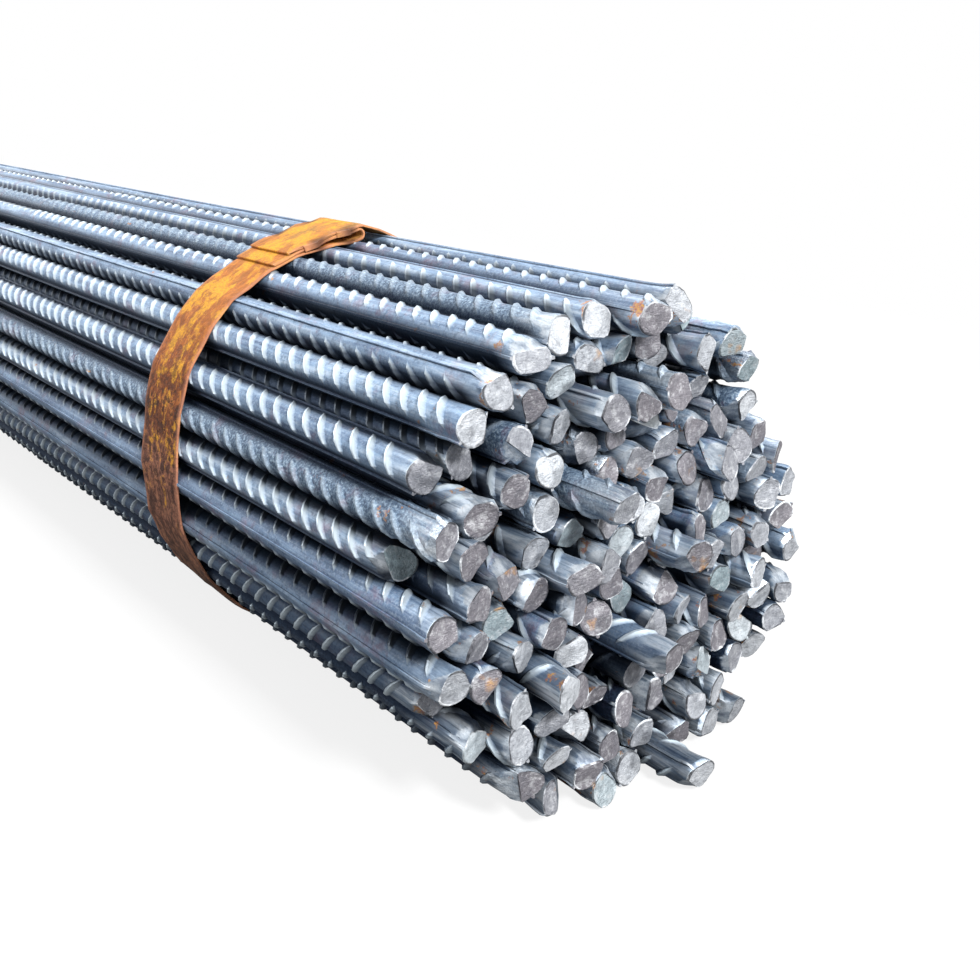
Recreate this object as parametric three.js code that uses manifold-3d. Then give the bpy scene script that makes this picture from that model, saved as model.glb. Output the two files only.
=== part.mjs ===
// A bundle of ribbed reinforcing bars as it leaves the rolling mill: straight bars of one size and one
// stock length, gathered into a round bundle and held by flat steel straps.
// Millimetres. X runs along the bars, Z is up and the floor is z = 0.
import * as THREE from "three";
import { mergeVertices } from "three/addons/utils/BufferGeometryUtils.js";
import Module from "manifold-3d";

// Bars. The ribs are fine relief: a plain round bar of the nominal size weighs what the ribbed one does.
const BAR_DIAMETER = 16;
const BAR_LENGTH = 6000;
const RIB_STANDOFF = 0.8; // rib crowns hold two bars that touch this far apart
const BAR_PITCH = BAR_DIAMETER + RIB_STANDOFF;
const BAR_COUNT = 140;
const OUTER_SIDES = 16;
const INNER_SIDES = 12;

// Bundling, counted in bars: how many wide and high the loose bars start, how many up the bundle's middle
// is, and how many lie between it and the straps.
const START_COLUMN_COUNT = 14;
const START_ROW_COUNT = 12;
const MIDDLE_ROW_COUNT = 5.9;
const GRIP_ROW_COUNT = 6.1;

// Ends. The bars are sheared to length, so they overhang unevenly and their faces are out of square.
const OVERHANG = 50;
const LEAN = 35; // the lowest bar is pushed out this much farther than the highest at the +X end,
const DRIFT = 10; // and the one farthest in +Y this much farther than the one opposite
const CUT_SLANT = 0.3; // most rise of a cut face for each unit of the bar's radius

// Straps: flat hot-rolled strip, drawn tight round the bundle. On top the strip is folded back on itself,
// and its other end lies over the fold, nipped to it at the edges.
const STRAP_WIDTH = 40;
const STRAP_THICKNESS = 1.2;
const STRAP_GAP = 0.35;
const STRAP_INSET = 232; // from the end of the stock length to the middle of the last strap
const STRAP_COUNT = 4;
const LAYER_GAP = 0.4; // between the layers of strip in the joint
const FOLD_AT = 7; // places in the joint, across the bundle from its middle
const FOLD_RADIUS = 2.6;
const INNER_END = -46.5;
const OUTER_END = -37.5;
const NIPS_AT = [-24, -4];
const NIP_LENGTH = 9;
const NIP_DEPTH = 2.4;

// Pieces that are joined in one node
const OUTER_NODE_COUNT = 36;
const LAYER_BAR_COUNT = 8;
const LAYER_REACH = 1.13; // bars nearer than this share of the pitch can be neighbours in a layer
const WEB_THICKNESS = 4;

const mill_scale = { color: 0x5d6874, roughness: 0.5, metalness: 0.75 };
const strap_rust = { color: 0xb8701f, roughness: 0.7, metalness: 0.2 };

const wasm = await Module();
wasm.setup();

function seededRandom(seed) {
  let state = seed;
  return () => {
    state = (state * 48271) % 2147483647;
    return state / 2147483647;
  };
}

// The bars find their places as they would in the cradle that gathers them: drawn together towards one
// line, pushed apart where they would overlap, held in by the straps and held up by a flat bed. The pitch
// is 1 here. In the last steps the bars only ease apart.
function gatherBars(count) {
  const random = seededRandom(1);
  const bars = [];
  for (let i = 0; i < count; i++) {
    bars.push({ y: (random() - 0.5) * START_COLUMN_COUNT, z: 0.5 + random() * START_ROW_COUNT });
  }
  const steps = 900;
  for (let step = 0; step < steps; step++) {
    const pull = step < 600 ? 0.005 : 0;
    for (const bar of bars) {
      bar.y -= pull * bar.y;
      bar.z -= pull * (bar.z - MIDDLE_ROW_COUNT);
    }
    for (let i = 0; i < count; i++) {
      for (let j = i + 1; j < count; j++) {
        const dy = bars[j].y - bars[i].y;
        const dz = bars[j].z - bars[i].z;
        const squared = dy * dy + dz * dz;
        if (squared >= 1 || squared === 0) continue;
        const distance = Math.sqrt(squared);
        const push = (0.5 * (1.0005 - distance)) / distance;
        bars[i].y -= dy * push;
        bars[i].z -= dz * push;
        bars[j].y += dy * push;
        bars[j].z += dz * push;
      }
    }
    for (const bar of bars) {
      const rise = bar.z - MIDDLE_ROW_COUNT;
      const away = Math.sqrt(bar.y * bar.y + rise * rise);
      if (step < 750 && away > GRIP_ROW_COUNT) {
        bar.y *= GRIP_ROW_COUNT / away;
        bar.z = MIDDLE_ROW_COUNT + (rise * GRIP_ROW_COUNT) / away;
      }
      bar.z = Math.max(bar.z, 0.5);
    }
  }
  return bars;
}

// Each bar's place in the bundle, how far it is pushed along, and how its two ends are cut.
const bed = STRAP_THICKNESS + STRAP_GAP;
const places = gatherBars(BAR_COUNT);
const extent = new THREE.Box2().setFromPoints(places.map((place) => new THREE.Vector2(place.y, place.z)));
const centreOfPlaces = extent.getCenter(new THREE.Vector2());
const sizeOfPlaces = extent.getSize(new THREE.Vector2());
const random = seededRandom(123);
const bars = places.map((place) => {
  const across = place.y - centreOfPlaces.x;
  const up = place.z - centreOfPlaces.y;
  const chance = random() + random() - 1;
  const uneven = OVERHANG * chance * chance * chance;
  return {
    y: across * BAR_PITCH,
    z: place.z * BAR_PITCH + bed,
    shift: uneven - (LEAN * up) / sizeOfPlaces.y + (DRIFT * across) / sizeOfPlaces.x,
    ends: [-1, 1].map(() => ({
      slantY: CUT_SLANT * (2 * random() - 1),
      slantZ: CUT_SLANT * (2 * random() - 1),
    })),
  };
});
const middle = new THREE.Vector2(0, centreOfPlaces.y * BAR_PITCH + bed);

// A bar is a straight round rod, cut out of square. Its polygon has the same area as the nominal circle.
const strapAt = 0.5 * BAR_LENGTH - STRAP_INSET;
function barRadius(sides) {
  const circle = Math.PI * (0.5 * BAR_DIAMETER) ** 2;
  return Math.sqrt(circle / (0.5 * sides * Math.sin((2 * Math.PI) / sides)));
}
function barGeometry(bar, sides) {
  const radius = barRadius(sides);
  const rod = new THREE.CylinderGeometry(radius, radius, BAR_LENGTH, sides);
  rod.rotateZ(-0.5 * Math.PI);
  const geometry = mergeVertices(bareGeometry(rod), 1e-4);
  const points = geometry.attributes.position;
  for (let i = 0; i < points.count; i++) {
    const end = bar.ends[points.getX(i) > 0 ? 1 : 0];
    const slant = end.slantY * points.getY(i) + end.slantZ * points.getZ(i);
    points.setX(i, points.getX(i) + bar.shift + slant);
  }
  return geometry;
}

function toSolid(geometry) {
  const welded = mergeVertices(geometry.index ? geometry : geometry.clone(), 1e-4);
  return new wasm.Manifold(
    new wasm.Mesh({
      numProp: 3,
      vertProperties: new Float32Array(welded.attributes.position.array),
      triVerts: new Uint32Array(welded.index.array),
    }),
  );
}

function bareGeometry(geometry) {
  geometry.deleteAttribute("normal");
  geometry.deleteAttribute("uv");
  return geometry;
}

function toGeometry(solid) {
  const mesh = solid.getMesh();
  const geometry = new THREE.BufferGeometry();
  geometry.setAttribute("position", new THREE.BufferAttribute(mesh.vertProperties, 3));
  geometry.setIndex(new THREE.BufferAttribute(mesh.triVerts, 1));
  return geometry;
}

function addMesh(group, name, geometry, finish, x, y, z) {
  geometry.computeVertexNormals();
  const mesh = new THREE.Mesh(geometry, new THREE.MeshStandardMaterial(finish));
  mesh.name = name;
  mesh.position.set(x, y, z);
  group.add(mesh);
}

const bundle = new THREE.Group();
bundle.name = "rebar_bundle";

// Outer bars: the farthest one out in each sector round the middle of the bundle is a node of its own.
const sectors = new Map();
for (const bar of bars) {
  const turn = Math.atan2(bar.z - middle.y, bar.y - middle.x) / (2 * Math.PI) + 0.5;
  const sector = Math.min(OUTER_NODE_COUNT - 1, Math.floor(turn * OUTER_NODE_COUNT));
  const reach = Math.hypot(bar.z - middle.y, bar.y - middle.x);
  if (!sectors.has(sector) || sectors.get(sector).reach < reach) sectors.set(sector, { bar, reach });
}
const outer = [...sectors.keys()].sort((a, b) => a - b).map((sector) => sectors.get(sector).bar);
outer.forEach((bar, i) => {
  const name = "outer_bar_" + String(i + 1).padStart(2, "0");
  addMesh(bundle, name, barGeometry(bar, OUTER_SIDES), mill_scale, 0, bar.y, bar.z);
});

// Inner bars: each layer grows sideways from the lowest bar that is still free. Its bars are one solid,
// joined by narrow webs deep in the grooves between them, between the last straps.
let free = bars.filter((bar) => !outer.includes(bar)).sort((a, b) => a.z - b.z);
const layers = [];
while (free.length) {
  const layer = [{ bar: free[0], parent: null }];
  free = free.slice(1);
  while (layer.length < LAYER_BAR_COUNT) {
    let best = null;
    for (const bar of free) {
      for (const { bar: parent } of layer) {
        const apart = Math.hypot(bar.y - parent.y, bar.z - parent.z);
        const climb = Math.abs(bar.z - layer[0].bar.z);
        if (apart > LAYER_REACH * BAR_PITCH || (best && best.climb <= climb)) continue;
        best = { bar, parent, climb };
      }
    }
    if (!best) break;
    layer.push(best);
    free = free.filter((bar) => bar !== best.bar);
  }
  layers.push(layer);
}
layers.forEach((layer, i) => {
  const first = layer[0].bar;
  const solids = layer.map(({ bar }) => {
    const rod = barGeometry(bar, INNER_SIDES);
    return toSolid(rod.translate(0, bar.y - first.y, bar.z - first.z));
  });
  for (const { bar, parent } of layer) {
    if (!parent) continue;
    const apart = Math.hypot(bar.y - parent.y, bar.z - parent.z);
    const web = bareGeometry(new THREE.BoxGeometry(2 * strapAt, apart, WEB_THICKNESS));
    web.rotateX(Math.atan2(bar.z - parent.z, bar.y - parent.y));
    web.translate(0, 0.5 * (bar.y + parent.y) - first.y, 0.5 * (bar.z + parent.z) - first.z);
    solids.push(toSolid(web));
  }
  const joined = solids.reduce((whole, solid) => whole.add(solid));
  const name = "inner_bars_" + String(i + 1).padStart(2, "0");
  addMesh(bundle, name, toGeometry(joined), mill_scale, 0, first.y, first.z);
});

// The outline of a band pulled tight round the bars, at a distance from them: their convex hull.
function tightOutline(distance) {
  const corners = 12;
  const reach = (barRadius(INNER_SIDES) + distance) / Math.cos(Math.PI / corners);
  const points = bars.flatMap((bar) =>
    Array.from({ length: corners }, (_, k) => {
      const turn = ((k + 0.5) * 2 * Math.PI) / corners;
      return new THREE.Vector2(bar.y + reach * Math.cos(turn), bar.z + reach * Math.sin(turn));
    }),
  );
  points.sort((a, b) => a.x - b.x || a.y - b.y);
  const chain = (list) => {
    const hull = [];
    for (const point of list) {
      while (hull.length > 1) {
        const [a, b] = hull.slice(-2);
        if ((b.x - a.x) * (point.y - a.y) - (b.y - a.y) * (point.x - a.x) > 1e-6) break;
        hull.pop();
      }
      hull.push(point);
    }
    return hull.slice(0, -1);
  };
  return [...chain(points), ...chain(points.reverse())];
}

// The strip's route round the bundle, seen along the bars: from its inner end, over the fold, once round
// the bundle and up over the fold again to its outer end.
const layerStep = STRAP_THICKNESS + LAYER_GAP;
const outline = tightOutline(STRAP_GAP + 0.5 * STRAP_THICKNESS);
function topOf(y) {
  const heights = outline.map((a, i) => {
    const b = outline[(i + 1) % outline.length];
    if (a.x === b.x || (y - a.x) * (y - b.x) > 0) return -Infinity;
    return a.y + ((y - a.x) / (b.x - a.x)) * (b.y - a.y);
  });
  return Math.max(...heights);
}
function foldedHeight(y) {
  const along = THREE.MathUtils.smoothstep(y, OUTER_END, FOLD_AT);
  return topOf(y) + layerStep + along * (2 * FOLD_RADIUS - layerStep);
}
function spaced(from, to, count) {
  return Array.from({ length: count + 1 }, (_, k) => from + ((to - from) * k) / count);
}
function stripRoute() {
  const inner = spaced(INNER_END, FOLD_AT, 10).map((y) => new THREE.Vector2(y, foldedHeight(y)));
  const turn = spaced(0.4 * Math.PI, -0.4 * Math.PI, 6).map((angle) => {
    const height = topOf(FOLD_AT) + FOLD_RADIUS * (1 + Math.sin(angle));
    return new THREE.Vector2(FOLD_AT + FOLD_RADIUS * Math.cos(angle), height);
  });
  const isTop = (point) => point.y > middle.y;
  const left = outline.filter((point) => isTop(point) && point.x < FOLD_AT);
  const start = outline.indexOf(left.reduce((a, b) => (b.x > a.x ? b : a)));
  const ordered = [...outline.slice(start), ...outline.slice(0, start)];
  // The strip leaves the bars where it runs straight up to the crest of the fold.
  const crest = new THREE.Vector2(FOLD_AT + FOLD_RADIUS, foldedHeight(FOLD_AT) + layerStep);
  const climb = (point) => (point.y - crest.y) / (point.x - crest.x);
  const right = outline.filter((point) => isTop(point) && point.x > crest.x + FOLD_RADIUS);
  const leaving = right.reduce((a, b) => (climb(b) > climb(a) ? b : a));
  const round = ordered.filter((point) => !isTop(point) || point.x < FOLD_AT || point.x >= leaving.x);
  const over = spaced(FOLD_AT, OUTER_END, 8);
  const last = over.map((y) => new THREE.Vector2(y, foldedHeight(y) + layerStep));
  return [...inner, ...turn, new THREE.Vector2(FOLD_AT, topOf(FOLD_AT)), ...round, crest, ...last];
}

// The strip itself: its route, given the strip's thickness, drawn out to its width.
function stripSolid(route) {
  const side = (sign) =>
    route.map((point, i) => {
      const before = route[Math.max(i - 1, 0)];
      const after = route[Math.min(i + 1, route.length - 1)];
      const along = [point.clone().sub(before), after.clone().sub(point)];
      const normals = along.filter((v) => v.length() > 0).map((v) => v.normalize());
      const mean = normals.reduce((sum, v) => sum.clone().add(v)).normalize();
      const miter = (0.5 * sign * STRAP_THICKNESS) / Math.max(mean.dot(normals[0]), 0.5);
      return new THREE.Vector2(point.x - mean.y * miter, point.y + mean.x * miter);
    });
  const shape = new THREE.Shape([...side(1), ...side(-1).reverse()]);
  const strip = new THREE.ExtrudeGeometry(shape, { depth: STRAP_WIDTH, bevelEnabled: false });
  strip.rotateX(0.5 * Math.PI).rotateZ(0.5 * Math.PI).translate(-0.5 * STRAP_WIDTH, 0, 0);
  return toSolid(bareGeometry(strip));
}

// Where the edges are nipped, the two upper layers are pressed into one.
function nipSolid(side, y) {
  const nip = new THREE.BoxGeometry(NIP_DEPTH, NIP_LENGTH, layerStep + STRAP_THICKNESS);
  const slope = (foldedHeight(y + 1) - foldedHeight(y - 1)) / 2;
  nip.rotateX(Math.atan(slope)).translate(0.5 * side * STRAP_WIDTH, y, foldedHeight(y) + 0.5 * layerStep);
  return toSolid(bareGeometry(nip));
}
const nips = NIPS_AT.flatMap((y) => [nipSolid(-1, y), nipSolid(1, y)]);
const strap = nips.reduce((whole, nip) => whole.add(nip), stripSolid(stripRoute()));
for (let i = 0; i < STRAP_COUNT; i++) {
  const x = -strapAt + (2 * strapAt * i) / (STRAP_COUNT - 1);
  addMesh(bundle, "strap_" + (i + 1), toGeometry(strap), strap_rust, x, 0, 0);
}

// The bundle lies on its straps, with the origin on the floor under the middle of its bounding box.
const box = new THREE.Box3().setFromObject(bundle);
const centre = box.getCenter(new THREE.Vector3());
bundle.position.set(-centre.x, -centre.y, -box.min.z);

export default bundle;
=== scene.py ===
import math
import random

import bmesh
import bpy
import numpy as np
from mathutils import Matrix, Vector


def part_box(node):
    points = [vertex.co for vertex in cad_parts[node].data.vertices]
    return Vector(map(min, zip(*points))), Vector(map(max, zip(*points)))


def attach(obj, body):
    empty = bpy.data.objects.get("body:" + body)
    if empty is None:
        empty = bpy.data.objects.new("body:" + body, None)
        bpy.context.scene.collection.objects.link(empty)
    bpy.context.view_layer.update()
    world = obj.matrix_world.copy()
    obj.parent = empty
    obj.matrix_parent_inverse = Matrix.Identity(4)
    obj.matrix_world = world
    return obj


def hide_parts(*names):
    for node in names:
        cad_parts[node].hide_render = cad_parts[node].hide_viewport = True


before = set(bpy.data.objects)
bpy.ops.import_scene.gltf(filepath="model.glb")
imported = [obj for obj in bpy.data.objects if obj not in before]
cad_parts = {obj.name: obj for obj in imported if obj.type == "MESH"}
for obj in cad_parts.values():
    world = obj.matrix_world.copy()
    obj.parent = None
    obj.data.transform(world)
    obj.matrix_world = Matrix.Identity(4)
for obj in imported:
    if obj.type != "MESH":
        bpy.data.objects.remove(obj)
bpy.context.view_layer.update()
scene = bpy.context.scene

# ---- Where the bars lie --------------------------------------------------------------------------
# 140 straight bars of stock length, gathered side by side. Each one's middle line and the slant of
# its two cut faces are those of the solid bars: a ring of points at each end gives both.
END_ZONE = 0.14  # the last stretch of the solids, where only ends of bars are found
SAME_POINT = 1e-5
LINES_OUT = 48  # lines of sight tried round each bar
LINE_WIDTH = 0.0104  # a bar whose middle lies closer to a line than this is in its way
SIDE_BY_SIDE = 0.026  # bars whose middles are closer than this have each other's shade painted on them


def groups(points):
    """Parts a mesh's points into groups that edges join. Here each is the ring of one cut face."""
    waiting = dict.fromkeys(points)
    while waiting:
        group, found = [], [waiting.popitem()[0]]
        while found:
            v = found.pop()
            group.append(v)
            for edge in v.link_edges:
                other = edge.other_vert(v)
                if other in waiting:
                    del waiting[other]
                    found.append(other)
        yield group


def lean(offsets, axis):
    """How far a cut face leans along X for each metre across the bar."""
    return sum(o.x * o[axis] for o in offsets) / sum(o[axis] * o[axis] for o in offsets)


def read_bars(node):
    """The bars in one node: place across the bundle, and for each end its reach and its slants."""
    bm = bmesh.new()
    bm.from_mesh(node.data)
    bmesh.ops.remove_doubles(bm, verts=bm.verts, dist=SAME_POINT)
    zone = max(abs(v.co.x) for v in bm.verts) - END_ZONE
    ends = {-1: [], 1: []}
    for sign, found in ends.items():
        for ring in groups(v for v in bm.verts if sign * v.co.x > zone):
            middle = sum((v.co for v in ring), Vector()) / len(ring)
            offsets = [v.co - middle for v in ring]
            found.append((middle, (lean(offsets, 1), lean(offsets, 2))))
    bm.free()
    bars = []
    for head, head_slants in sorted(ends[1], key=lambda end: (end[0].z, end[0].y)):
        tail, tail_slants = min(ends[-1], key=lambda end: (end[0].yz - head.yz).length)
        bars.append({
            "place": head.yz,
            "reach": {-1: tail.x, 1: head.x},
            "slants": {-1: tail_slants, 1: head_slants},
        })
    return bars


bar_nodes = {
    name: read_bars(node) for name, node in sorted(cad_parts.items()) if "bar" in name
}
every_bar = [bar for bars in bar_nodes.values() for bar in bars]
bundle_middle = Vector([
    (min(bar["place"][k] for bar in every_bar) + max(bar["place"][k] for bar in every_bar)) / 2
    for k in (0, 1)
])

# A bar is open to the sides from which no other bar hides it. Its neighbours' shade is painted on
# it.
turns = [2 * math.pi * k / LINES_OUT for k in range(LINES_OUT)]
lines_out = [Vector((math.cos(turn), math.sin(turn))) for turn in turns]
for bar in every_bar:
    others = [other for other in every_bar if other is not bar]
    offsets = [other["place"] - bar["place"] for other in others]
    bar["neighbours"] = [
        other for other, offset in zip(others, offsets) if offset.length < SIDE_BY_SIDE
    ]
    bar["open_ways"] = [
        way for way in lines_out
        if not any(o.dot(way) > 0 and abs(way.cross(o)) < LINE_WIDTH for o in offsets)
    ]

# ---- Ribbed bars as they are rolled --------------------------------------------------------------
# Hot-rolled bar of 16 mm nominal size: a round core, two plain ribs along it, and between them on
# each side a row of slanting crescent ribs, all pressed in by the last pair of rolls.
BAR_LENGTH = 6.0
HALF_LENGTH = BAR_LENGTH / 2
CORE_RADIUS = 0.0076
CORE_SIDES = 20
MIDDLE_CUTS = {"open_core": 13, "hidden_core": 3}  # cuts between its ends, where it can bend
END_CUTS = (0.001, 0.0024, 0.0042, 0.0065, 0.0095, 0.013, 0.018, 0.026, 0.038, 0.054, 0.075, 0.11)
RIM_BEVEL = 0.0004
RIM_DEPTH = 0.0006  # points this close to the end are part of the rim
FACE_DEPTH = 0.0003  # faces this close to the end are part of the cut face
FACE_RINGS = (0.0011, 0.0018, 0.0022)  # widths of the rings that divide it, from the rim inwards
RIDGE_WIDTH = 0.0019
RIDGE_HEIGHT = 0.0009
RIDGE_SINK = 0.0004  # its foot lies this deep in the core
RIDGE_SHORT = 0.0004  # it is this much shorter than the bar, so that it stays behind the rims
RIDGE_TOP = 0.55  # its top is this share of its foot's width
RIB_PITCH = 0.0122
RIB_HEIGHT = 0.0015
RIB_CROWN = 0.0012
RIB_STEEP, RIB_GENTLE = 0.9, 2.2  # breadth of each flank for each unit of height
RIB_SHADE_SKIRT = 0.001  # breadth of the shade painted behind it
RIB_SINK = 0.00004  # a row of ribs lies this deep in the core
TIP_POINT = 1e-6  # points at a tip that are closer than this are one
RIB_SPREAD = math.radians(68)  # half of the arc that a crescent rib covers
RIB_LEAN = math.tan(math.radians(40))
OUTER_RADIUS = CORE_RADIUS + RIB_HEIGHT
FIRST_RIB = 0.0065  # from the end of the bar
# How high each edge of a rib's foot lies. Where no shade is painted behind a rib, its back is thin.
RIB_FEET = {"shade_skirt": -0.0001, "back": 0.0002, "thin_back": -0.0001, "front": -0.0003}
# How a point wears is kept as its crown: 1 on an edge that is rubbed bright, 0 on plain skin, and
# below 0 in a crease, where shade is painted dark.
EDGE_WEAR, RIDGE_WEAR, RIB_FRONT_WEAR = 1, 0.25, 0.05
SKIRT_SHADE, RIB_BACK_SHADE, CREASE_SHADE = -0.1, -0.5, -1


def cut(bm, point, normal, **settings):
    """Cuts new edges where a plane passes through the whole mesh."""
    everything = bm.verts[:] + bm.edges[:] + bm.faces[:]
    bmesh.ops.bisect_plane(bm, geom=everything, plane_co=point, plane_no=normal, **settings)


def bar_core(middle_cuts):
    """The core with its two long ribs, cut across where a bar bends or the shears squeeze it."""
    bm = bmesh.new()
    crown = bm.verts.layers.float.new("crown")
    bmesh.ops.create_cone(
        bm, cap_ends=True, segments=CORE_SIDES, radius1=CORE_RADIUS, radius2=CORE_RADIUS,
        depth=BAR_LENGTH, matrix=Matrix.Rotation(math.pi / 2, 4, "Y"),
    )
    rims = [e for e in bm.edges if abs(e.verts[0].co.x - e.verts[1].co.x) < SAME_POINT]
    bmesh.ops.bevel(
        bm, geom=rims, offset=RIM_BEVEL, segments=1, profile=0.5, affect="EDGES", material=-1
    )
    for side in (-1, 1):
        ridge = bmesh.ops.create_cube(bm, size=1)["verts"]
        height = RIDGE_HEIGHT + RIDGE_SINK
        bmesh.ops.scale(bm, verts=ridge, vec=(BAR_LENGTH - RIDGE_SHORT, RIDGE_WIDTH, height))
        for v in ridge:
            on_top = v.co.z * side > 0
            v.co.y *= RIDGE_TOP if on_top else 1
            # A long rib's foot is marked for painted shade along the core.
            v[crown] = RIDGE_WEAR if on_top else CREASE_SHADE
        bmesh.ops.translate(
            bm, verts=ridge, vec=(0, 0, side * (CORE_RADIUS + RIDGE_HEIGHT - height / 2))
        )
    cuts = [sign * (HALF_LENGTH - depth) for sign in (-1, 1) for depth in END_CUTS]
    cuts += [BAR_LENGTH * ((k + 1) / (middle_cuts + 1) - 0.5) for k in range(middle_cuts)]
    for x in cuts:
        cut(bm, (x, 0, 0), (1, 0, 0))
    for v in bm.verts:
        if abs(v.co.x) > HALF_LENGTH - RIM_DEPTH and v[crown] == 0:
            v[crown] = EDGE_WEAR
    caps = [f for f in bm.faces if len(f.verts) == CORE_SIDES]
    for width in FACE_RINGS:
        bmesh.ops.inset_individual(bm, faces=caps, thickness=width)
        for f in caps:
            for v in f.verts:
                v[crown] = 0
    bmesh.ops.poke(bm, faces=caps)
    for f in bm.faces:
        on_face = abs(f.calc_center_median().x) > HALF_LENGTH - FACE_DEPTH and len(f.verts) < 5
        f.material_index = 1 if on_face else 0
    return bm


def rib_row(side, hand, across, along, first, count):
    """A row of like crescent ribs, highest in the middle, that run out at both tips."""
    columns = {
        2: ("back", "crown", "front"),
        3: ("back", "crown_back", "crown_front", "front"),
        4: ("shade_skirt", "back", "crown_back", "crown_front", "front"),
    }[across]
    bm = bmesh.new()
    crown = bm.verts.layers.float.new("crown")
    bmesh.ops.create_grid(bm, x_segments=across, y_segments=along, size=1)
    for v in bm.verts:
        column, t = columns[round((v.co.x + 1) * across / 2)], v.co.y
        # A rib fades towards both tips, its height most and its wear least.
        fade = max(0.0, 1 - t * t) ** 0.7
        height, half = RIB_HEIGHT * fade, 0.5 * RIB_CROWN * fade**0.5
        back, wear = -half - RIB_STEEP * height, EDGE_WEAR * fade**0.25
        foot = RIB_FEET["back"] * fade if "shade_skirt" in columns else RIB_FEET["thin_back"]
        # The skirt behind a rib and its back foot are marked for painted shade.
        x, rise, v[crown] = {
            "shade_skirt": (back - RIB_SHADE_SKIRT * fade, RIB_FEET["shade_skirt"], SKIRT_SHADE),
            "back": (back, foot, RIB_BACK_SHADE),
            "crown_back": (-half, height, wear),
            "crown": (0, height, wear),
            "crown_front": (half, height, wear),
            "front": (half + RIB_GENTLE * height, RIB_FEET["front"] * fade, RIB_FRONT_WEAR),
        }[column]
        arc = t * RIB_SPREAD
        radius = CORE_RADIUS + rise - RIB_SINK
        x += hand * RIB_LEAN * CORE_RADIUS * arc
        v.co = (first + x, side * radius * math.cos(arc), side * radius * math.sin(arc))
    bmesh.ops.remove_doubles(bm, verts=bm.verts, dist=TIP_POINT)
    bmesh.ops.recalc_face_normals(bm, faces=bm.faces)
    flank = max(bm.faces, key=lambda f: abs(f.calc_center_median().y))
    if flank.normal.dot(Vector((0, side, 0))) < 0:
        bmesh.ops.reverse_faces(bm, faces=bm.faces)
    bmesh.ops.spin(
        bm, geom=bm.verts[:] + bm.edges[:] + bm.faces[:], cent=(0, 0, 0), axis=(1, 0, 0),
        dvec=(RIB_PITCH, 0, 0), angle=0, steps=count - 1, use_duplicate=True,
    )
    return bm


def template(name, bm):
    """A shape that is copied into each bar: its mesh, its points and each one's wear and painted
    shade.
    """
    layer = bm.verts.layers.float["crown"]
    crown = np.array([v[layer] for v in bm.verts])
    for f in bm.faces:
        f.smooth = True
    mesh = bpy.data.meshes.new(name)
    bm.to_mesh(mesh)
    bm.free()
    points = np.empty(len(mesh.vertices) * 3)
    mesh.vertices.foreach_get("co", points)
    return {"mesh": mesh, "points": points.reshape(-1, 3), "crown": crown}


# The head of a bar is made most finely, because it is seen from closest by. On a side that faces
# other bars only the ribs at the two ends show, so the rest are left out.
HEAD_RIBS, TAIL_RIBS, HIDDEN_RIBS = 44, 16, 9
middle_ribs = int((BAR_LENGTH - 2 * FIRST_RIB) / RIB_PITCH) - HEAD_RIBS - TAIL_RIBS - 1
head_start = HALF_LENGTH - FIRST_RIB - HEAD_RIBS * RIB_PITCH
middle_start = head_start - middle_ribs * RIB_PITCH
tail_start = middle_start - TAIL_RIBS * RIB_PITCH
hidden_start = HALF_LENGTH - FIRST_RIB - HIDDEN_RIBS * RIB_PITCH
templates = {name: template(name, bar_core(cuts)) for name, cuts in MIDDLE_CUTS.items()}
for side in (-1, 1):
    for hand in (-1, 1):
        for stretch, across, along, first, count in (
            ("head", 4, 6, head_start, HEAD_RIBS),
            ("middle", 2, 3, middle_start, middle_ribs),
            ("tail", 3, 4, tail_start, TAIL_RIBS),
            ("hidden_head", 3, 6, hidden_start, HIDDEN_RIBS),
            ("hidden_tail", 2, 4, tail_start, HIDDEN_RIBS),
        ):
            row = rib_row(side, hand, across, along, first, count)
            templates[stretch, side, hand] = template("ribs", row)

# ---- Bars as they are cut and laid ---------------------------------------------------------------
# Each bar is sheared to length cold: the blades press flats on the end, smear the scale off them
# and leave a rough face with a lip. The bars then lie in the bundle, rolled at random.
STRAP_X = sorted(
    (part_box(name)[0].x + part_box(name)[1].x) / 2 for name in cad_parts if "strap" in name
)
END_SPLAY = 0.016  # bars spread past the last strap by this share of their distance from the middle
LOOSE_MOST = 1.3  # bars that stand out further than usual spread on up to this share of the way
STRAY = 0.0007  # a bar lies at random up to this far off its line
BELLY, BELLY_AT = 0.0012, 0.1  # between straps a bar bulges so much, this far from the middle
SHADE_DEPTH = 0.016  # shade is painted on a bar's skin this far behind the ends of its neighbours
ON_FACE = 0.0001  # points this close to the end are on the cut face
LIP_DEPTH = 0.0012
SQUEEZED = 0.016  # the shears squeeze a bar this far in from its end
PRESSED_IN = 0.94  # share of what stands past a flat that is pressed in
SCRAPED = 0.0005  # metal pressed in by this much is scraped bare
BULGE = 0.10  # share of its width by which an end swells across a flat
END_BEND, TEAR_STEP, LIP_LENGTH = 0.0012, 0.0011, 0.0014  # the most of each that an end has
SLANT_ZONE = 0.05  # the slant of the face pushes the ribs askew this far in
GLIMPSE = -0.15  # a row of ribs is still seen when it is turned this far from an open way
HANDLED_SHARE, FLAKY_SHARE, USUAL_HAND_SHARE = 0.8, 0.19, 0.8  # shares of the bars
PLAIN_ROUGHNESS = 0.35  # the most that a bar without flaky scale has
BAR_SHARP, STRAP_SHARP = math.radians(28), math.radians(30)  # edges that are bent more are sharp


def ripple(rng, points, wave, height):
    """Smooth unevenness: a few crossed waves of about the given length."""
    waves = 5
    total = np.zeros(len(points))
    for _ in range(waves):
        way = np.array([rng.gauss(0, 1) for _ in range(3)])
        way *= 2 * math.pi / (wave * np.linalg.norm(way))
        total += np.sin(points @ way + rng.uniform(0, 2 * math.pi))
    return height * total / (waves / 2)


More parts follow.
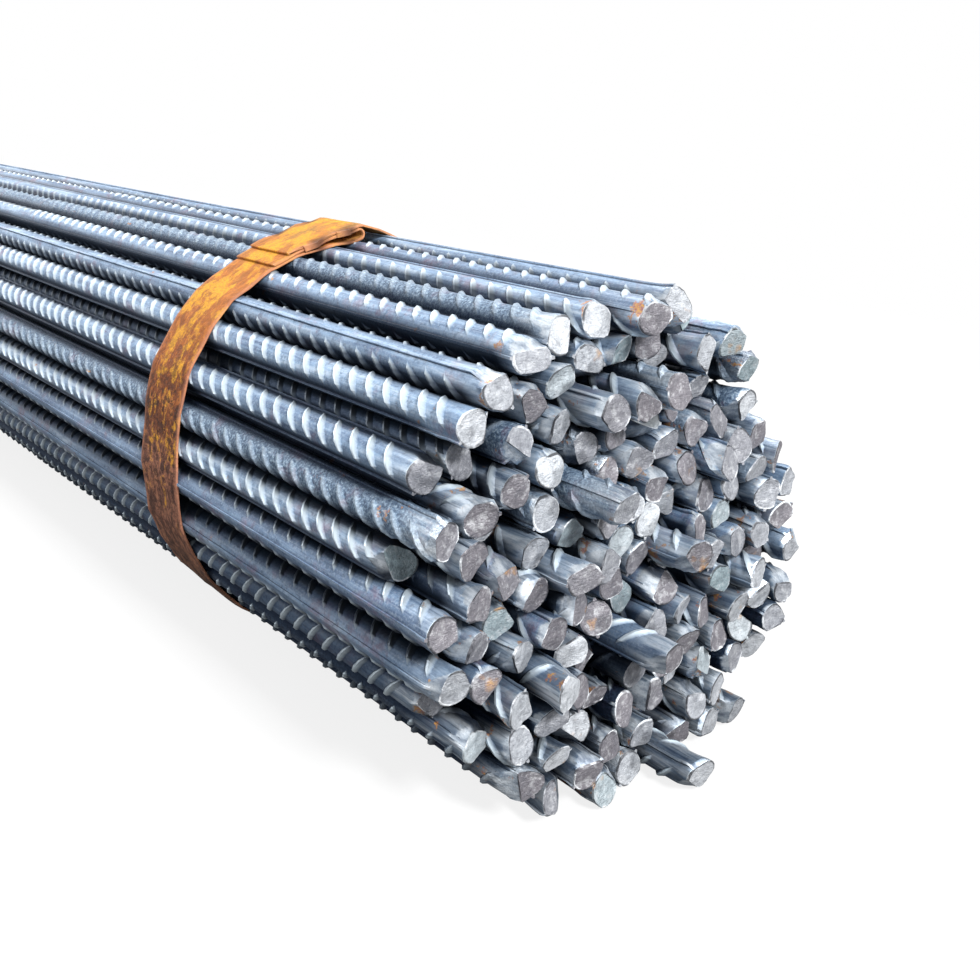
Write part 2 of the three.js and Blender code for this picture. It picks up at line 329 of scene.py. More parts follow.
def shade_between_bars(points, bar):
    """Shade painted where neighbours that reach past a point shut it in: 0 is open, 1 is deep."""
    offsets = points[:, 1:] - np.array(bar["place"])
    offsets /= np.hypot(offsets[:, 0], offsets[:, 1])[:, None] + 1e-6
    sign = np.where(points[:, 0] > 0, 1, -1)
    shut = np.zeros(len(points))
    for other in bar["neighbours"]:
        way = (other["place"] - bar["place"]).normalized()
        # A side starts to be shut in 73 degrees off its neighbour, and is wholly so by 37.
        facing = np.clip((offsets @ np.array(way) - 0.3) / 0.5, 0, 1)
        its_end = np.where(sign > 0, other["reach"][1], -other["reach"][-1])
        behind = np.clip((its_end - sign * points[:, 0]) / SHADE_DEPTH, 0, 1)
        shut = np.maximum(shut, facing * behind)
    return shut


def shear_end(rng, points, sign):
    """Presses flats on one end as the shears do. Gives how bare the metal is at each point."""
    depth = HALF_LENGTH - sign * points[:, 0]
    near = np.clip(1 - depth / SQUEEZED, 0, 1)
    bare = np.zeros(len(points))
    yz = points[:, 1:]
    turn = rng.uniform(0, 2 * math.pi)
    for k in range(rng.choice((2, 3, 3, 4))):
        # The first flat is the blade's, long and often deep. The rest come from what holds the bar.
        angle = turn if k == 0 else turn + rng.uniform(1.0, 5.3)
        way = np.array([math.cos(angle), math.sin(angle)])
        across = np.array([-way[1], way[0]])
        share = rng.triangular(0.15, 0.95, 0.7) if k == 0 else rng.uniform(0.7, 0.98)
        length = rng.uniform(0.005, 0.013) if k == 0 else rng.uniform(0.003, 0.008)
        level = CORE_RADIUS * share
        flat = level + (OUTER_RADIUS - level) * (depth / length) ** rng.uniform(0.7, 1.7)
        excess = np.clip(yz @ way - np.where(depth < length, flat, 1), 0, None)
        yz -= np.outer(PRESSED_IN * excess, way)
        bare = np.maximum(bare, np.clip(excess / SCRAPED, 0, 1) * rng.uniform(0.7, 1.0))
        # What is pressed in from one side bulges out to both others.
        bulge = BULGE * (1 - level / CORE_RADIUS) * near**1.5
        yz += np.outer(bulge * (yz @ across), across)
    # The end is bent a little away from the blade, and no longer quite round.
    way = np.array([math.cos(turn), math.sin(turn)])
    t = yz @ way
    yz -= np.outer(rng.uniform(0, END_BEND) * near**2, way)
    radius = np.hypot(yz[:, 0], yz[:, 1])
    uneven = rng.uniform(0.0002, 0.0006)
    yz *= (1 + ripple(rng, points, 0.010, uneven) * near**0.7 / 0.008)[:, None]
    # The blade bites part of the way and the rest tears off, with a step and a lip at the far edge.
    rim = np.clip(radius / CORE_RADIUS, 0, 1)
    step, step_place = rng.uniform(-TEAR_STEP, TEAR_STEP), rng.uniform(-0.003, 0.003)
    tear = step / (1 + np.exp(-(t - step_place) / 0.0005))
    relief = tear + ripple(rng, points, 0.006, 0.0003)
    lip = rng.uniform(0, LIP_LENGTH) * np.clip(-t / 0.007, 0, 1) ** 2 * rim**4
    points[:, 0] += sign * np.where(depth < ON_FACE, relief * (1 - 0.6 * rim**6), 0)
    points[:, 0] += sign * np.where(depth < LIP_DEPTH, lip, 0)
    return bare


def lay_bar(rng, points, bar):
    """Cuts, rolls and places one bar's points. Gives how bare the metal is at each."""
    points[:, 0] = np.clip(points[:, 0], -HALF_LENGTH, HALF_LENGTH)
    hold = rng.uniform(0.02, 0.045)  # the stretch at each end by which it is dragged
    handled = np.clip(1 - (HALF_LENGTH - abs(points[:, 0])) / hold, 0, 1) ** 0.6
    handled *= rng.uniform(0.2, 0.55) if rng.random() < HANDLED_SHARE else 0
    bare = np.maximum(shear_end(rng, points, -1) + shear_end(rng, points, 1), handled)
    c, s = math.cos(bar["roll"]), math.sin(bar["roll"])
    points[:, 1:] = points[:, 1:] @ np.array([[c, s], [-s, c]])
    x = points[:, 0].copy()
    for sign, (slant_y, slant_z) in bar["slants"].items():
        shift = points[:, 1] * slant_y + points[:, 2] * slant_z
        points[:, 0] += np.clip(1 - (HALF_LENGTH - sign * x) / SLANT_ZONE, 0, 1) * shift
    tail, head = bar["reach"][-1] + HALF_LENGTH, bar["reach"][1] - HALF_LENGTH
    points[:, 0] += (tail + head) / 2 + (head - tail) / 2 * x / HALF_LENGTH
    out = bar["place"] - bundle_middle
    x = points[:, 0]
    loose = np.clip((abs(x) - STRAP_X[-1]) / (HALF_LENGTH - STRAP_X[-1]), 0, LOOSE_MOST)
    span = np.clip((x - STRAP_X[0]) / (STRAP_X[1] - STRAP_X[0]), 0, len(STRAP_X) - 1)
    sag = np.sin(math.pi * span) ** 2
    for k in (0, 1):
        head_stray, tail_stray, middle_stray = (rng.uniform(-STRAY, STRAY) for _ in range(3))
        end_stray = np.where(x > 0, head_stray, tail_stray) * loose**2
        belly = (BELLY * out[k] / BELLY_AT + middle_stray) * sag
        moved = END_SPLAY * out[k] * loose + end_stray + belly
        if k == 1:
            moved = np.maximum(moved, OUTER_RADIUS - bar["place"][1])  # no bar enters the floor
        points[:, 1 + k] += bar["place"][k] + moved
    return bare


def rebar_piece(name, bars, rng):
    """All the bars that one node stands for, as one mesh with its wear and painted shade at its
    points.
    """
    bm = bmesh.new()
    points = []
    wear = {"crown": [], "bare": [], "tone": [], "rough": [], "painted_shade": []}
    for bar in bars:
        bar["roll"] = rng.uniform(0, 2 * math.pi)
        core = "open_core" if bar["open_ways"] else "hidden_core"
        ribs = []
        hand = 1 if rng.random() < USUAL_HAND_SHARE else -1
        for side in (-1, 1):
            facing = bar["roll"] + (0 if side > 0 else math.pi)
            way = Vector((math.cos(facing), math.sin(facing)))
            seen = any(way.dot(open_way) > GLIMPSE for open_way in bar["open_ways"])
            stretches = ("head", "middle", "tail") if seen else ("hidden_head", "hidden_tail")
            ribs += [(stretch, side, hand) for stretch in stretches]
        phase = (rng.uniform(0, RIB_PITCH), 0, 0)
        for key in (core, *ribs):
            bm.from_mesh(templates[key]["mesh"])
        laid = np.concatenate(
            [templates[core]["points"]] + [templates[key]["points"] + phase for key in ribs]
        )
        wear["bare"].append(lay_bar(rng, laid, bar))
        points.append(laid)
        wear["painted_shade"].append(shade_between_bars(laid, bar))
        wear["crown"].append(np.concatenate([templates[key]["crown"] for key in (core, *ribs)]))
        wear["tone"].append(np.full(len(laid), rng.random()))
        rough = 1.0 if rng.random() < FLAKY_SHARE else PLAIN_ROUGHNESS * rng.random()
        wear["rough"].append(np.full(len(laid), rough))
    mesh = bpy.data.meshes.new(name)
    bm.to_mesh(mesh)
    bm.free()
    mesh.vertices.foreach_set("co", np.concatenate(points).ravel())
    for attribute, values in wear.items():
        layer = mesh.attributes.get(attribute) or mesh.attributes.new(attribute, "FLOAT", "POINT")
        layer.data.foreach_set("value", np.concatenate(values))
    mesh.set_sharp_from_angle(angle=BAR_SHARP)
    mesh.update()
    piece = bpy.data.objects.new(name, mesh)
    scene.collection.objects.link(piece)
    return piece


def colour(text):
    """An sRGB hex colour as the linear one that a shader takes."""
    srgb = [int(text[k : k + 2], 16) / 255 for k in (0, 2, 4)]
    return [c / 12.92 if c <= 0.04045 else ((c + 0.055) / 1.055) ** 2.4 for c in srgb] + [1]


def add(tree, kind, inputs=(), output=0, stops=(), **settings):
    """Adds one shader node with its settings and gives one of its outputs. Its inputs come in order
    or by key, each a value or the output that feeds it. Stops are a ramp's places and colours."""
    node = tree.nodes.new("ShaderNode" + kind)
    for key, value in settings.items():
        setattr(node, key, value)
    for key, value in inputs.items() if isinstance(inputs, dict) else enumerate(inputs):
        if isinstance(value, bpy.types.NodeSocket):
            tree.links.new(value, node.inputs[key])
        else:
            node.inputs[key].default_value = value
    for k, (position, shown) in enumerate(stops):
        ramp = node.color_ramp.elements
        stop = ramp[k] if k < 2 else ramp.new(position)
        stop.position, stop.color = position, colour(shown)
    return node.outputs[output]


def coats(tree, skin, *layers):
    """Lays colours over a skin in turn, each given as hex or as an output. Each comes in where its
    pattern goes from start to full, and covers at most so much."""
    for pattern, start, full, most, top in layers:
        share = add(tree, "MapRange", (pattern, start, full, 0, most))
        top = colour(top) if isinstance(top, str) else top
        # A Mix node's two colours are its inputs 6 and 7, and its output 2 is their mix.
        skin = add(tree, "Mix", {0: share, 6: skin, 7: top}, output=2, data_type="RGBA")
    return skin


def new_material(name, *wear):
    """A material, its nodes, its shader, where a point lies, and each kind of wear and painted
    shade stored there.
    """
    material = bpy.data.materials.new(name)
    material.use_nodes = True
    tree = material.node_tree
    place = add(tree, "TexCoord", output="Object")
    stored = [add(tree, "Attribute", output="Fac", attribute_name=kind) for kind in wear]
    return material, tree, tree.nodes["Principled BSDF"], place, *stored


# Mill scale on hot-rolled steel: a thin blue-grey oxide skin with a dull sheen, in patches of
# lighter and darker slate. Shade is painted on it near black between the bars, dark in the creases
# behind the ribs and darker low on the bundle. It is rubbed bright on the ribs and gone where the
# shears have pressed. One bar in five has thick, flaky scale all over.
mill_scale, tree, shader, place, crown, bare, tone, rough, painted_shade = new_material(
    "mill_scale_steel_as_rolled", "crown", "bare", "tone", "rough", "painted_shade"
)
# Each bar is marked in its own way: its tone shifts it through the patterns.
own = add(tree, "VectorMath", (tone, (31, 17, 23), place), operation="MULTIPLY_ADD")
patch_place = add(tree, "Mapping", {"Vector": own, "Scale": (25, 230, 230)})
line_place = add(tree, "Mapping", {"Vector": own, "Scale": (22, 800, 800)})
patches, lines, spots, flakes, grains, mauve_field, rust_field = (
    add(tree, "TexNoise", {"Vector": v, "Scale": scale, "Detail": detail, "Roughness": roughness})
    for v, scale, detail, roughness in (
        (patch_place, 1, 5, 0.6),  # 40 mm along the bar by 4 mm
        (line_place, 1, 3, 0.6),  # 45 mm along the bar by 1.2 mm
        (place, 330, 4, 0.7),  # 3 mm
        (place, 760, 3, 0.7),  # 1.3 mm
        (place, 900, 3, 0.65),  # 1.1 mm
        (own, 38, 5, 0.75),  # 26 mm
        (own, 55, 5, 0.75),  # 18 mm
    )
)
height = add(tree, "SeparateXYZ", (place,), output="Z")
low_down = add(tree, "MapRange", (height, 0.09, 0.05, 0, 1))
contrast = add(tree, "MapRange", (tone, 0, 1, 0.9, 1.4))
shade = add(tree, "Math", (patches, contrast, -0.13), operation="MULTIPLY_ADD")
skin = add(
    tree, "ValToRGB", (shade,), stops=((0.22, "4d6280"), (0.5, "839dba"), (0.78, "bccddf"))
)
scaly = add(
    tree, "ValToRGB", (flakes,),
    stops=((0.36, "3a4b62"), (0.47, "596e86"), (0.56, "758ba1"), (0.68, "a9bac9")),
)
# Shade is painted dark on the lowest bars.
low_shade = add(tree, "MapRange", (grains, 0.3, 0.6, 1.0, 0.8))
# The last few centimetres are handled and dragged, and silvery.
silvery = add(
    tree, "ValToRGB", (patches,), stops=((0.35, "68798e"), (0.47, "a0afbe"), (0.6, "e6edf3"))
)
silvery = coats(tree, silvery, (lines, 0.52, 0.64, 0.5, "3d4c60"))
pressed = add(
    tree, "ValToRGB", (patches,), stops=((0.35, "7e8897"), (0.47, "a8b2bd"), (0.6, "d0d7de"))
)
pressed = coats(tree, pressed, (grains, 0.55, 0.7, 0.5, "75808d"))
# The ribs' crowns are rubbed bright, less so low down where shade is painted, in dull patches and
# on flaky bars.
rubbed = add(tree, "Math", (low_down, -0.12, crown), operation="MULTIPLY_ADD")
most_rubbed = add(tree, "MapRange", (patches, 0.3, 0.5, 0.7, 1.0))
rubbed = add(tree, "MapRange", (rubbed, 0.2, 0.75, 0, most_rubbed))
not_flaky = add(tree, "MapRange", (rough, 0.5, 0.9, 1, 0.3))
rubbed = add(tree, "Math", (rubbed, not_flaky), operation="MULTIPLY")
# Specks of fresh rust are ochre to reddish pink, a few millimetres wide and far apart.
rust = add(tree, "ValToRGB", (grains,), stops=((0.4, "9a5a55"), (0.6, "cf9c45")))
more_rust = add(tree, "MapRange", (bare, 0.05, 0.2, 0, 0.06))
rust_field = add(tree, "Math", (rust_field, more_rust), operation="ADD")
skin = coats(
    tree, skin,
    (spots, 0.5, 0.68, 0.6, "2a3c56"),
    (grains, 0.5, 0.3, 0.3, "c3d0dc"),
    (lines, 0.5, 0.65, 0.2, "2c3c54"),
    (lines, 0.46, 0.34, 0.14, "c6d5e2"),
    (rough, 0.5, 0.9, 1, scaly),
    (mauve_field, 0.54, 0.66, 0.5, "86626f"),
    # Shade painted dark low on the bundle.
    (low_down, 0, 1, low_shade, "121c30"),
    (bare, 0.05, 0.5, 0.75, silvery),
    (rubbed, 0, 1, 1, "c9d6df"),
    # Shade painted dark in the creases behind the ribs and along the long ribs' feet.
    (crown, -0.1, -0.3, 0.65, "141e2e"),
    (bare, 0.54, 0.62, 1, pressed),
    (rust_field, 0.66, 0.7, 0.8, rust),
    # Shade painted near black between the bars.
    (painted_shade, 0, 0.85, 0.9, "081426"),
)
tree.links.new(skin, shader.inputs["Base Color"])
# It is smoothest where it is rubbed or pressed, and dullest low down, where shade is painted.
dull = add(tree, "MapRange", (grains, 0.3, 0.7, 0.42, 0.62))
for pattern, start, full, change in (
    (bare, 0.1, 0.6, 0.84), (low_down, 0, 1, 1.4), (rubbed, 0, 1, 0.75)
):
    change = add(tree, "MapRange", (pattern, start, full, 1, change))
    dull = add(tree, "Math", (dull, change), operation="MULTIPLY")
tree.links.new(dull, shader.inputs["Roughness"])
# Bare and rubbed metal shine as metal does. Where shade is painted between the bars and low down,
# the share is high too, so that the dark colour there darkens what it reflects as well.
metal = add(tree, "MapRange", (bare, 0, 0.6, 0.15, 0.7))
for pattern, start, full, most in (
    (rubbed, 0, 1, 0.65), (painted_shade, 0.2, 0.9, 0.9), (low_down, 0, 1, 0.95)
):
    share = add(tree, "MapRange", (pattern, start, full, 0, most))
    metal = add(tree, "Math", (metal, share), operation="MAXIMUM")
tree.links.new(metal, shader.inputs["Metallic"])
shader.inputs["Specular IOR Level"].default_value = 0.35
thick = add(tree, "MapRange", (rough, 0.5, 0.9, 0, 1))
relief = add(tree, "Math", (thick, flakes, 0.3), operation="MULTIPLY_ADD")
relief = add(tree, "Bump", {"Strength": 0.6, "Distance": 0.0007, "Height": relief})
tree.links.new(relief, shader.inputs["Normal"])

# The cut face: torn raw steel, neutral grey, blotched and cracked, with fine lines where the blade
# slid, a burred rim with a painted highlight on one side and painted shade on the other, and
# painted shade where neighbours shut it in.
cut_steel, tree, shader, place, crown, tone, painted_shade = new_material(
    "sheared_steel_face", "crown", "tone", "painted_shade"
)
slid = add(tree, "Mapping", {"Vector": place, "Scale": (900, 260, 1500)})
grooves, blotches, grit, rim_sides, rust_field = (
    add(tree, "TexNoise", {"Vector": v, "Scale": scale, "Detail": detail, "Roughness": roughness})
    for v, scale, detail, roughness in (
        (slid, 1, 3, 0.6),  # 4 mm by 1 mm
        (place, 230, 4, 0.65),  # 4 mm
        (place, 750, 3, 0.7),  # 1.3 mm
        (place, 75, 3, 0.6),  # 13 mm, so that it changes once or twice round a rim
        (place, 48, 3, 0.6),  # 20 mm
    )
)
cracks = add(  # 6 mm apart
    tree, "TexVoronoi", {"Vector": place, "Scale": 170}, feature="DISTANCE_TO_EDGE"
)
face = add(tree, "ValToRGB", (tone,), stops=(
    (0.0, "807d83"), (0.25, "706d73"), (0.5, "9699a0"), (0.7, "a9adb3"), (0.85, "c9cdd2"),
    (0.95, "8c9da3"),
))
# On the rim a highlight is painted on one side of the face and a line of shade on the other.
painted_rim_highlight = add(tree, "MapRange", (crown, 0.4, 0.8, 0, 1))
painted_rim_shade = add(tree, "MapRange", (crown, 0.4, 0.8, 0, 0.85))
rust = add(tree, "ValToRGB", (grit,), stops=((0.4, "8f6656"), (0.55, "c4954f")))
face = coats(
    tree, face,
    (blotches, 0.5, 0.66, 0.4, "55575f"),
    (blotches, 0.47, 0.34, 0.4, "d8dadd"),
    (grit, 0.54, 0.7, 0.35, "4c4d54"),
    (grit, 0.42, 0.3, 0.3, "e4e6e8"),
    (cracks, 0.03, 0, 0.25, "303138"),
    (rim_sides, 0.54, 0.62, painted_rim_highlight, "e6eaee"),
    (rim_sides, 0.53, 0.45, painted_rim_shade, "24262d"),
    (rust_field, 0.64, 0.7, 0.6, rust),
    # Shade painted where neighbours that reach past the face shut it in.
    (painted_shade, 0.1, 1, 0.4, "0c121c"),
)
tree.links.new(face, shader.inputs["Base Color"])
shader.inputs["Metallic"].default_value = 0.2
shader.inputs["Roughness"].default_value = 0.5
torn = add(tree, "Math", (grooves, blotches), operation="ADD")
torn = add(tree, "Math", (grit, torn), operation="MULTIPLY")
relief = add(tree, "Bump", {"Strength": 0.8, "Distance": 0.0009, "Height": torn})
tree.links.new(relief, shader.inputs["Normal"])

for index, (name, bars) in enumerate(bar_nodes.items()):
    piece = rebar_piece(name + "_ribbed", bars, random.Random(7100 + index))
    piece.data.materials.append(mill_scale)
    piece.data.materials.append(cut_steel)
    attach(piece, "root")
    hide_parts(name)
for used_up in templates.values():
    bpy.data.meshes.remove(used_up["mesh"])

# ---- Straps --------------------------------------------------------------------------------------
# Flat hot-rolled strip, 40 mm by 1.2 mm, once lacquered and now rusted, drawn tight round the bars
# so that it runs straight from one to the next. On top it is folded back, lapped and nipped.
STRAP_HALF_WIDTH = 0.02
STRAP_BEVEL = 0.00028
# So that the strip can be dented, it is cut along its length at even steps, and across it where a
# number of planes pass through the bundle's middle.
STRAP_STEP, STRAP_STEPS = 0.0042, range(-4, 5)
STRAP_PLANES = 36
SAME_PLANE = 1e-6  # points this close to a cut are on it
STRAP_PROUD = 0.0002  # its rusted skin stands this far out from the solid strip
STRAP_WAVE = 0.0004  # how far its edges wander
STRAP_ROUND = 0.11  # its mean distance from the bundle's middle
NIPS = ((-0.024, -0.015), (-0.004, 0.005))  # where the lapped layers are nipped, across the bundle
NIP_DEPTH = 0.0012
# Along the strip a nip starts a little outside its place and ramps down. Across it, it starts off
# the middle line and slopes down towards the edge.
NIP_OUTSIDE, NIP_RAMP = 0.002, 0.003
NIP_START, NIP_SLOPE = 0.013, 0.005
FLOOR_GAP = 0.00005  # no strap comes closer to the floor


def strap_piece(name, rng):
    """One node's strip with wavy edges and dented faces, and its wear stored at its points."""
    bm = bmesh.new()
    bm.from_mesh(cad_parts[name].data)
    bmesh.ops.remove_doubles(bm, verts=bm.verts, dist=SAME_POINT)
    low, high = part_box(name)
    middle = (low.x + high.x) / 2
    rims = [
        e for e in bm.edges
        if all(abs(abs(v.co.x - middle) - STRAP_HALF_WIDTH) < 1e-4 for v in e.verts)
        and e.calc_face_angle(0) > math.radians(60)
    ]
    bmesh.ops.bevel(
        bm, geom=rims, offset=STRAP_BEVEL, segments=1, profile=0.5, affect="EDGES", material=-1
    )
    for k in STRAP_STEPS:
        cut(bm, (middle + k * STRAP_STEP, 0, 0), (1, 0, 0), dist=SAME_PLANE)
    for k in range(STRAP_PLANES):
        turn = k * math.pi / STRAP_PLANES
        cut(bm, (middle, *bundle_middle), (0, math.cos(turn), math.sin(turn)), dist=SAME_PLANE)
    mesh = bpy.data.meshes.new(name + "_rusted")
    bm.to_mesh(mesh)
    bm.free()
    points = np.empty(len(mesh.vertices) * 3)
    mesh.vertices.foreach_get("co", points)
    points = points.reshape(-1, 3)
    across = points[:, 0] - middle
    out = points[:, 1:] - np.array(bundle_middle)
    turn = np.arctan2(-out[:, 0], out[:, 1])
    radius = np.hypot(out[:, 0], out[:, 1])
    rim = np.clip((abs(across) - STRAP_HALF_WIDTH / 2) / (STRAP_HALF_WIDTH / 2), 0, 1)
    dents = ripple(rng, points, 0.035, 0.00025)
    rim_dents = rim * ripple(rng, points, 0.016, 0.0003)
    points[:, 0] += np.sign(across) * rim * ripple(rng, points, 0.022, STRAP_WAVE)
    dented = 1 + (STRAP_PROUD + dents + rim_dents) / radius
    points[:, 1:] = np.array(bundle_middle) + out * dented[:, None]
    y = points[:, 1]
    nipped = np.zeros(len(points))
    for start, end in NIPS:
        past_start = np.clip((y - start + NIP_OUTSIDE) / NIP_RAMP, 0, 1)
        before_end = np.clip((end + NIP_OUTSIDE - y) / NIP_RAMP, 0, 1)
        at_edge = np.clip((abs(across) - NIP_START) / NIP_SLOPE, 0, 1)
        nipped += past_start * before_end * (out[:, 1] > 0) * at_edge
    points[:, 2] = np.maximum(points[:, 2] - NIP_DEPTH * nipped, FLOOR_GAP)
    mesh.vertices.foreach_set("co", points.ravel())
    for attribute, values in (
        ("along", turn * STRAP_ROUND), ("nipped", nipped), ("edge", abs(across) / STRAP_HALF_WIDTH),
    ):
        mesh.attributes.new(attribute, "FLOAT", "POINT").data.foreach_set("value", values)
    mesh.polygons.foreach_set("use_smooth", [True] * len(mesh.polygons))
    mesh.set_sharp_from_angle(angle=STRAP_SHARP)
    mesh.update()
    piece = bpy.data.objects.new(name + "_rusted", mesh)
    scene.collection.objects.link(piece)
    return piece


# Rusted steel strip with the rests of a yellow lacquer: patches of yellow on orange on top, streaks
# of it down the sides over brown rust, and dark maroon rust with black pits low down. It is dull.
strap_rust, tree, shader, place, along, nipped, edge = new_material(
    "rusted_steel_strip_with_worn_lacquer", "along", "nipped", "edge"
)
x, z = (add(tree, "SeparateXYZ", (place,), output=axis) for axis in "XZ")
flow = add(tree, "CombineXYZ", (x, along, z))
blotches, streaks, wander = (
    add(tree, "TexNoise", {
        "Vector": add(tree, "Mapping", {"Vector": flow, "Scale": scale}),
        "Scale": 1, "Detail": detail, "Roughness": roughness, "Distortion": distortion,
    })
    for scale, detail, roughness, distortion in (
        ((95, 60, 40), 6, 0.65, 0),  # 12 mm
        ((230, 110, 90), 4, 0.65, 0.6),  # 4 mm by 10 mm, lengthwise
        ((60, 25, 25), 3, 0.6, 0),  # 16 mm by 40 mm
    )
)
grit, clots = (
    add(tree, "TexNoise", {"Vector": place, "Scale": scale, "Detail": d, "Roughness": roughness})
    for scale, d, roughness in (
        (700, 3, 0.7),  # 1.4 mm
        (240, 4, 0.75),  # 4 mm
    )
)
height = add(tree, "Math", (wander, 0.07, z), operation="MULTIPLY_ADD")
share_up = add(tree, "MapRange", (height, 0, 0.28, 0, 1))
rust = add(tree, "ValToRGB", (share_up,), stops=(
    (0.20, "84604f"), (0.50, "8c5a48"), (0.58, "743f24"), (0.70, "9c5524"), (0.84, "b66e30"),
    (0.95, "b0803f"),
))
pale = add(tree, "ValToRGB", (height,), stops=((0.12, "be8464"), (0.19, "cb7f35")))
pitted = add(tree, "MapRange", (height, 0.21, 0.15, 0.3, 0.8))
# Yellow is left where the blotches are high on top, and in ever narrower streaks down the sides.
gathered = add(tree, "Math", (blotches, 0.8, streaks), operation="MULTIPLY_ADD")
gathered = add(tree, "MapRange", (gathered, 0.4, 1.4, 0, 1))
on_top = add(tree, "MapRange", (height, 0.16, 0.22, 0, 1))
kept = add(tree, "Mix", {0: on_top, 2: gathered, 3: blotches}, data_type="FLOAT")
rubbed_off = add(tree, "MapRange", (edge, 0.4, 1.0, 0, 0.06))
kept = add(tree, "Math", (kept, rubbed_off), operation="SUBTRACT")
needed = add(tree, "ValToRGB", (share_up,), stops=(
    (0.30, "e6e6e6"), (0.50, "cccccc"), (0.62, "c2c2c2"), (0.85, "b8b8b8"),
))
kept = add(tree, "Math", (kept, needed), operation="SUBTRACT")
lacquer = add(tree, "ValToRGB", (grit,), stops=((0.35, "c6872a"), (0.65, "e6aa30")))
# Dark clots of rust lie thickest half way down, and dark grit everywhere below the top.
clotted = add(tree, "MapRange", (height, 0.09, 0.13, 0.085, 0.85))
clotted = add(tree, "MapRange", (height, 0.215, 0.175, 0, clotted))
gritty = add(tree, "MapRange", (blotches, 0.6, 0.45, 0.3, 1.0))
below_top = add(tree, "MapRange", (height, 0.22, 0.16, 0.25, 0.85))
gritty = add(tree, "Math", (gritty, below_top), operation="MULTIPLY")
# The lowest bend is painted as dark as the bars beside it, as shade.
low_shade = add(tree, "MapRange", (blotches, 0.35, 0.6, 0.9, 0.5))
rust = coats(
    tree, rust,
    (streaks, 0.5, 0.62, 0.75, pale),
    (streaks, 0.5, 0.4, pitted, "321c15"),
    (kept, -0.03, 0.05, 0.9, lacquer),
    (clots, 0.5, 0.43, clotted, "2f150c"),
    (grit, 0.5, 0.38, gritty, "3f2216"),
    # A highlight painted along both edges of the strip.
    (edge, 0.86, 1, 0.6, "c2866a"),
    # Shade painted dark on the lowest bend.
    (height, 0.115, 0.06, low_shade, "21170f"),
    (nipped, 0.2, 0.9, 0.8, "43281f"),
)
tree.links.new(rust, shader.inputs["Base Color"])
dull = add(tree, "MapRange", (grit, 0.3, 0.7, 0.6, 0.85))
tree.links.new(dull, shader.inputs["Roughness"])
shader.inputs["Specular IOR Level"].default_value = 0.3
crust = add(tree, "Math", (grit, blotches), operation="ADD")
relief = add(tree, "Bump", {"Strength": 0.7, "Distance": 0.0008, "Height": crust})
tree.links.new(relief, shader.inputs["Normal"])

for index, name in enumerate(sorted(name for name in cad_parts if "strap" in name)):
    piece = strap_piece(name, random.Random(400 + index))
    piece.data.materials.append(strap_rust)
    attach(piece, "root")
    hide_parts(name)

# ---- Floor, light and camera ---------------------------------------------------------------------
# A plain pale floor and an even sky. A long soft lamp hangs overhead, another stands low on the
# left, and three light the two ends. The camera looks at the sheared ends from one side.
FLOOR_SIZE = 40
SHADOW_LINE = 2.8  # half the length of the line that the shadow lies round


def sight(tree):
    """Whether a ray is the camera's, whether it is a reflection, and whether it is either."""
    direct = add(tree, "LightPath", output="Is Camera Ray")
    mirrored = add(tree, "LightPath", output="Is Glossy Ray")
    return direct, mirrored, add(tree, "Math", (direct, mirrored), operation="MAXIMUM")


bm = bmesh.new()
bmesh.ops.create_grid(bm, x_segments=1, y_segments=1, size=FLOOR_SIZE)
floor_mesh = bpy.data.meshes.new("floor")
bm.to_mesh(floor_mesh)
bm.free()
floor = bpy.data.objects.new("floor", floor_mesh)
scene.collection.objects.link(floor)
# Pale to the eye, and darker to the light that it throws back up at the bars.
pale_floor, tree, shader, place = new_material("pale_floor")
shader.inputs["Roughness"].default_value = 0.9
direct, mirrored, seen = sight(tree)
pale = add(
    tree, "Mix", {0: direct, 6: colour("3c3c3c"), 7: colour("e6e6e6")}, output=2, data_type="RGBA"
)
tree.links.new(pale, shader.inputs["Base Color"])
# White takes over away from the bundle, where there is no shadow left to show.
away = add(tree, "VectorMath", (place,), operation="ABSOLUTE")
away = add(tree, "VectorMath", (away, (SHADOW_LINE, 0, 0)), operation="SUBTRACT")
away = add(tree, "VectorMath", (away, (0, 0, 0)), operation="MAXIMUM")
away = add(tree, "VectorMath", (away,), output="Value", operation="LENGTH")
white_seen = add(tree, "MapRange", (away, 0.35, 1.0, 0.82, 1.0))
white_mirrored = add(tree, "MapRange", (away, 0.25, 1.4, 0.08, 1.0))
share = add(tree, "Mix", {0: mirrored, 2: white_seen, 3: white_mirrored}, data_type="FLOAT")
share = add(tree, "Math", (seen, share), operation="MULTIPLY")
white = add(tree, "Emission", {"Strength": 1})
lit = add(tree, "MixShader", (share, shader.outputs[0], white))
tree.links.new(lit, tree.nodes["Material Output"].inputs["Surface"])
floor_mesh.materials.append(pale_floor)

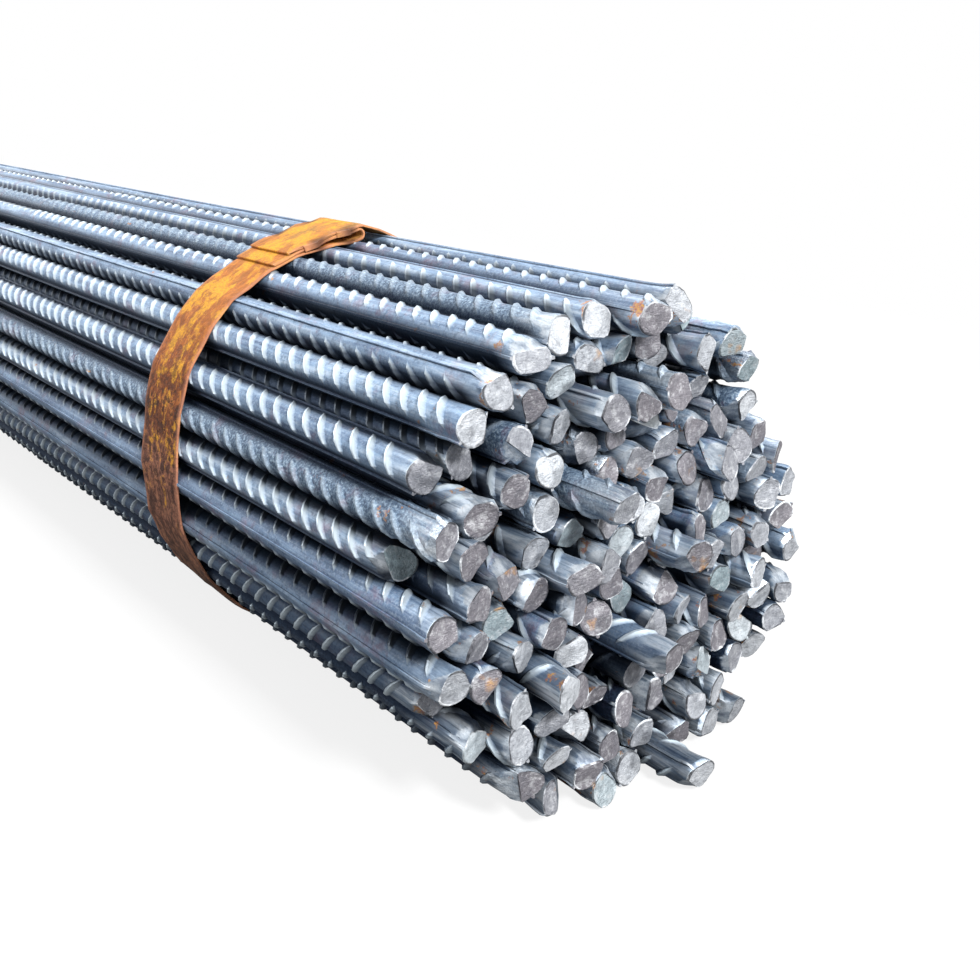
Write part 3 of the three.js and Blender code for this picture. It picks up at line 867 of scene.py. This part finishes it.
world = bpy.data.worlds.new("studio")
world.use_nodes = True
scene.world = world
tree = world.node_tree
background = tree.nodes["Background"]
background.inputs["Color"].default_value = (1, 1, 1, 1)
# The sky is white to the eye and in the steel, and dim as a light.
direct, mirrored, seen = sight(tree)
strength = add(tree, "MapRange", (seen, 0, 1, 0.18, 1.0))
tree.links.new(strength, background.inputs["Strength"])

# Each lamp's size, its power in watts, where it is and where it points.
for name, size, power, spot, aim in (
    ("overhead", (9.0, 1.2), 229, (0.4, -0.2, 2.4), (0, 0, 0)),
    ("before_the_ends", (1.1, 1.1), 500, (7.2, -0.1, 3.7), (2.7, 0, 0.1)),
    ("left_of_the_ends", (1.2, 1.2), 52, (6.4, -2.0, 1.5), (2.8, 0, 0.1)),
    ("behind_the_tail", (0.8, 0.8), 50, (-4.4, 0.3, 1.5), (-2.9, 0, 0.1)),
    ("low_on_the_left", (7.0, 0.5), 36, (-0.6, -2.2, 0.9), (-0.6, 0, 0.1)),
):
    light = bpy.data.lights.new(name, "AREA")
    light.shape, light.size, light.size_y, light.energy = "RECTANGLE", *size, power
    lamp = bpy.data.objects.new(name, light)
    lamp.location = spot
    lamp.rotation_euler = (Vector(aim) - Vector(spot)).to_track_quat("-Z", "Y").to_euler()
    scene.collection.objects.link(lamp)

# The camera stands past the last strap, to one side of the bundle's middle line and above it.
CAMERA_PAST_STRAP, CAMERA_ASIDE, CAMERA_ABOVE = 0.5013, -0.3184, 0.1887
YAW, PITCH = 0.715, 0.377
forward = Vector((
    -math.cos(YAW) * math.cos(PITCH), math.sin(YAW) * math.cos(PITCH), -math.sin(PITCH)
))
camera_data = bpy.data.cameras.new("camera")
camera_data.lens = 38.57
camera_data.sensor_width = 36
camera_data.clip_start, camera_data.clip_end = 0.01, 100
camera = bpy.data.objects.new("camera", camera_data)
camera.location = (STRAP_X[-1] + CAMERA_PAST_STRAP, CAMERA_ASIDE, bundle_middle.y + CAMERA_ABOVE)
camera.rotation_euler = forward.to_track_quat("-Z", "Y").to_euler()
scene.collection.objects.link(camera)
scene.camera = camera
scene.view_settings.view_transform = "Standard"
